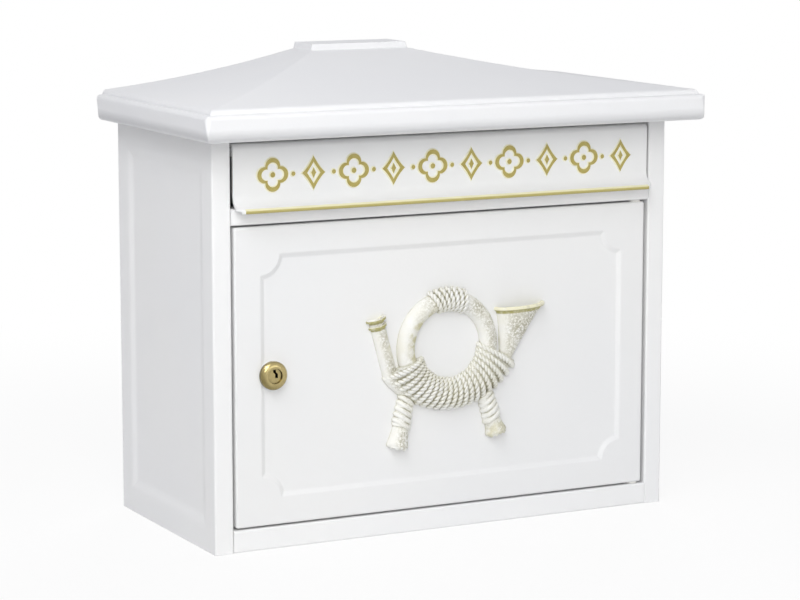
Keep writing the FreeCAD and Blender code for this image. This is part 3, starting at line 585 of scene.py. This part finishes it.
def frieze(material):
    """Row of lozenges and quatrefoils with small beads between them, raised on the flap."""
    verts, faces = [], []
    pitch = (frieze_right - frieze_left) / (frieze_count - 1)
    for i in range(frieze_count):
        centre = Vector((frieze_left + pitch * i, front_y, frieze_z))
        if i % 2:
            add_band(verts, faces, centre, lozenge(*lozenge_outer), lozenge(*lozenge_inner))
            add_boss(verts, faces, centre, lozenge(*lozenge_boss), boss_steps)
        else:
            add_band(verts, faces, centre, quatrefoil(*foil_outer), quatrefoil(*foil_inner))
            add_boss(verts, faces, centre, disc(foil_boss_radius), boss_steps)
        if i:
            between = centre - Vector((pitch / 2, 0, 0))
            add_boss(verts, faces, between, disc(bead_radius), bead_steps)
    new_piece("flap_frieze", verts, faces, material, "flap")


# Cords of the post horn

def on_ring(radius, degrees):
    angle = math.radians(degrees)
    return ring_centre + Vector((radius * math.cos(angle), 0, radius * math.sin(angle)))


def leg_foot():
    return on_ring(ring_radius + leg_out, leg_at)


def bell_mouth():
    return on_ring(ring_radius + bell_out, bell_at) + Vector((math.tan(bell_lean), 0, 1)) * bell_height


def arch_through(start, crown, end, steps):
    """Points of the circular arc through three points."""
    chord = end - start
    middle = (start + end) / 2
    rise = (crown - middle).length
    radius = (chord.length ** 2 / 4 + rise ** 2) / (2 * rise)
    up = (crown - middle).normalized()
    onward = chord.normalized()
    centre = middle + up * (rise - radius)
    sweep = math.atan2(chord.length / 2, radius - rise)
    angles = [sweep * (2 * i / steps - 1) for i in range(steps + 1)]
    return [centre + up * radius * math.cos(a) + onward * radius * math.sin(a) for a in angles]


def half_turn(centre, across, drop, reach, steps):
    """Points over the front of a rod, from one side to the other, sliding along it by a drop."""
    angles = [math.pi * (i / steps - 0.5) * turn_share for i in range(steps + 1)]
    return [centre + across * reach * math.sin(a) + drop * math.sin(a) - Vector((0, reach * math.cos(a), 0))
            for a in angles]


def heading(path, i):
    """Direction of a path at one of its points."""
    return (path[min(i + 1, len(path) - 1)] - path[max(i - 1, 0)]).normalized()


def before_door(spot):
    """A point, brought forward where it would lie deep in the door."""
    return Vector((spot.x, min(spot.y, strand_limit_y), spot.z))


def add_strand(verts, faces, path, radii, sides):
    """Tube of a few sides along a path, with a radius at each point and domed ends."""
    first = len(verts)
    side = Vector((0, 0, 1))
    for i, point in enumerate(path):
        way = heading(path, i)
        side = (side - way * side.dot(way)).normalized()
        over = way.cross(side)
        for j in range(sides):
            turn = 2 * math.pi * j / sides
            verts.append(before_door(point + (side * math.cos(turn) + over * math.sin(turn)) * radii[i]))
    for i in range(len(path) - 1):
        for j in range(sides):
            a, b = first + i * sides + j, first + i * sides + (j + 1) % sides
            faces.append((a, b, b + sides, a + sides))
    for end, inner, radius in ((path[0], path[1], radii[0]), (path[-1], path[-2], radii[-1])):
        verts.append(before_door(end + (end - inner).normalized() * radius * strand_dome))
    last = first + (len(path) - 1) * sides
    for j in range(sides):
        k = (j + 1) % sides
        faces.append((first + k, first + j, last + sides))
        faces.append((last + j, last + k, last + sides + 1))


def add_cord(verts, faces, path, radii, pitch, start_turn):
    """Two strands twisted round a path, as a laid cord, from one radius at its start to one at its end."""
    travelled = 0.0
    strands = [], []
    steps = len(path) - 1
    reaches = [radii[0] + (radii[1] - radii[0]) * i / steps for i in range(steps + 1)]
    for i, point in enumerate(path):
        way = heading(path, i)
        travelled += (point - path[i - 1]).length if i else 0.0
        side = Vector((0, 1, 0)).cross(way).normalized()
        over = way.cross(side)
        for number, strand in enumerate(strands):
            turn = 2 * math.pi * travelled / pitch + math.pi * number + start_turn
            out = side * math.cos(turn) + over * math.sin(turn)
            strand.append(point + out * reaches[i] * strand_offset)
    for strand in strands:
        add_strand(verts, faces, strand, [reach * strand_share for reach in reaches], cord_sides)


def low_end(tube_side, edge, span, share):
    """One end of a turn of the lower winding, from the left foot (0) to the right (1)."""
    level, slope, curve = edge
    off = share - 0.5
    degrees = span[0] + (span[1] - span[0]) * share
    return on_ring(tube_side + level + slope * off + curve * off ** 2, degrees)


def horn_cords(material):
    """Laid cords over the turns of both windings."""
    verts, faces = [], []
    for i in range(low_turns):
        share = (i + 0.5) / low_turns
        inner = low_end(ring_radius - tube_radius, low_inner_edge, low_inner_span, share)
        outer = low_end(ring_radius + tube_radius, low_outer_edge, low_outer_span, share)
        crown = (inner + outer) / 2 - Vector((0, low_rise, 0))
        path = arch_through(inner, crown, outer, low_steps)
        add_cord(verts, faces, path, low_radii, low_pitch, i * low_shift)
    for i in range(top_turns):
        degrees = top_span[0] + (top_span[1] - top_span[0]) * (i + 0.5) / top_turns
        tilt = math.radians(degrees + top_tilt)
        across = Vector((math.cos(tilt), 0, math.sin(tilt)))
        centre = on_ring(ring_radius + top_out, degrees)
        path = half_turn(centre, across, Vector((0, 0, 0)), tube_radius + top_lift, top_steps)
        add_cord(verts, faces, path, top_radii, top_pitch, i * top_shift)
    piece = new_piece("horn_cords", verts, faces, material, "door")
    piece.data.shade_smooth()


# Tassels of the post horn

def tassel_ways(spot):
    """A tassel's directions down and across."""
    lean = spot["lean"]
    down = Vector((math.sin(lean), 0, -math.cos(lean)))
    return down, Vector((math.cos(lean), 0, math.sin(lean)))


def tassel_top(spot):
    return on_ring(ring_radius + spot["out"], spot["at"])


def tassel_end(spot):
    return tassel_top(spot) + tassel_ways(spot)[0] * (tassel_head + spot["skirt"])


def add_head(verts, faces, spot):
    """Cord turns round a tassel's head."""
    down, across = tassel_ways(spot)
    drop = down * math.copysign(tassel_twist, -spot["lean"])
    for i in range(tassel_turns):
        centre = tassel_top(spot) + down * (tassel_head * (i + 0.5) / tassel_turns)
        reach = tassel_radius - tassel_taper + tassel_taper * i / tassel_turns
        path = half_turn(centre, across, drop, reach, tassel_turn_steps)
        add_strand(verts, faces, path, [tassel_turn_radius] * len(path), tassel_sides)


def add_skirt(verts, faces, spot):
    """Strands of a tassel's skirt, which flare and end unevenly."""
    down, across = tassel_ways(spot)
    foot = tassel_top(spot) + down * tassel_head
    for j in range(skirt_strands):
        angle = skirt_spread * (2 * j / (skirt_strands - 1) - 1)
        length = spot["skirt"] * (skirt_length + skirt_uneven * math.sin(j * length_wave))
        path = []
        for k in range(skirt_stations):
            share = k / (skirt_stations - 1)
            reach = tassel_radius - skirt_inset + (tassel_foot - tassel_radius) * share ** skirt_flare
            turn = angle + skirt_sway * math.sin(j * sway_wave) * share
            out = across * math.sin(turn) - Vector((0, math.cos(turn), 0))
            path.append(foot + down * length * share + out * reach)
        add_strand(verts, faces, path, [skirt_radius] * skirt_stations, tassel_sides)


def tassels(material):
    verts, faces = [], []
    for spot in tassel_spots:
        add_head(verts, faces, spot)
        add_skirt(verts, faces, spot)
    piece = new_piece("tassel_cords", verts, faces, material, "door")
    piece.data.shade_smooth()


# Studio

def seen_share(tree):
    """One for what the eye, a mirror or a glass sees, and nought for other light."""
    path = tree.nodes.new("ShaderNodeLightPath")
    factor = path.outputs["Is Camera Ray"]
    for name in ("Is Glossy Ray", "Is Transmission Ray"):
        larger = tree.nodes.new("ShaderNodeMath")
        larger.operation = "MAXIMUM"
        tree.links.new(factor, larger.inputs[0])
        tree.links.new(path.outputs[name], larger.inputs[1])
        factor = larger.outputs[0]
    return factor


def paper_white():
    """White paper that shows shadows near the box and fades to plain white further out."""
    paper = Surface("white_paper")
    fibre = paper.noise(900.0, detail=3.0)
    paper.set(Base_Color=paper.mix(fibre, rgb(0.88, 0.88, 0.88), rgb(0.92, 0.92, 0.92)))
    paper.set(Roughness=0.9, Specular_IOR_Level=0.1)
    glow = paper.add("ShaderNodeEmission", {"Color": rgb(1, 1, 1), "Strength": 1.0})
    far = paper.vector("LENGTH", paper.place)["Value"]
    fade = paper.span(far, floor_fade, floor_white, smooth=True)
    blend = paper.add("ShaderNodeMixShader")
    sources = (paper.product(seen_share(paper.tree), fade), paper.shader.outputs[0], glow.outputs[0])
    for socket, source in zip(blend.inputs, sources):
        paper.feed(socket, source)
    paper.feed(paper.tree.nodes["Material Output"].inputs["Surface"], blend.outputs[0])
    return paper.material


def floor():
    half = floor_half
    corners = [(-half, -half, 0), (half, -half, 0), (half, half, 0), (-half, half, 0)]
    mesh = bpy.data.meshes.new("studio_floor")
    mesh.from_pydata(corners, [], [(0, 1, 2, 3)])
    mesh.materials.append(paper_white())
    plane = bpy.data.objects.new("studio_floor", mesh)
    bpy.context.scene.collection.objects.link(plane)


def world(level, tint):
    """Even soft light of a given level; the eye, mirrors and glass see white."""
    sky = bpy.data.worlds.new("studio")
    bpy.context.scene.world = sky
    sky.use_nodes = True
    tree = sky.node_tree
    ground = tree.nodes["Background"]
    ground.inputs["Color"].default_value = tint
    ground.inputs["Strength"].default_value = level
    seen = tree.nodes.new("ShaderNodeBackground")
    seen.inputs["Color"].default_value = rgb(1, 1, 1)
    seen.inputs["Strength"].default_value = 1.0
    blend = tree.nodes.new("ShaderNodeMixShader")
    for socket, source in zip(blend.inputs, (seen_share(tree), ground.outputs[0], seen.outputs[0])):
        tree.links.new(source, socket)
    tree.links.new(blend.outputs[0], tree.nodes["World Output"].inputs["Surface"])


def lamp(name, place, size, watts, tint):
    """Square soft box that faces the middle of the letter box."""
    light = bpy.data.lights.new(name, "AREA")
    light.size = size
    light.energy = watts
    light.color = tint
    holder = bpy.data.objects.new(name, light)
    bpy.context.scene.collection.objects.link(holder)
    holder.location = place
    holder.rotation_euler = (view_target - Vector(place)).to_track_quat("-Z", "Y").to_euler()


def camera():
    lens = bpy.data.cameras.new("photo_view")
    lens.sensor_fit = "HORIZONTAL"
    lens.sensor_width = sensor_width
    lens.lens = focal_pixels * sensor_width / image_width
    lens.clip_end = view_end
    holder = bpy.data.objects.new("photo_view", lens)
    bpy.context.scene.collection.objects.link(holder)
    level = math.cos(view_elevation)
    back = Vector((math.sin(view_azimuth) * level, -math.cos(view_azimuth) * level, 0))
    back.z = math.sin(view_elevation)
    holder.location = view_target + back * view_distance
    holder.rotation_euler = back.to_track_quat("Z", "Y").to_euler()
    bpy.context.scene.camera = holder


paint_nodes()
frieze(gold_leaf())
cord_finish = horn_finish("cord_antique_white", cord_rub_and_shade)
horn_cords(cord_finish)
tassels(cord_finish)
floor()
world(level=0.33, tint=rgb(0.94, 0.945, 1.0))
lamp("key", place=(-1.05, -2.0, 1.35), size=1.2, watts=19.0, tint=(1.0, 1.0, 0.975))
lamp("top", place=(-0.55, -0.72, 1.15), size=0.6, watts=4.4, tint=(1.0, 1.0, 0.985))
lamp("side", place=(-1.35, -0.55, 1.8), size=0.8, watts=6.5, tint=(0.955, 0.96, 1.0))
lamp("fill", place=(0.5, -2.2, 0.5), size=1.2, watts=6.0, tint=(1.0, 1.0, 0.975))
lamp("rear", place=(1.4, 1.9, 1.0), size=1.2, watts=20.0, tint=(1.0, 1.0, 1.0))
camera()
bpy.context.scene.view_settings.view_transform = "Standard"
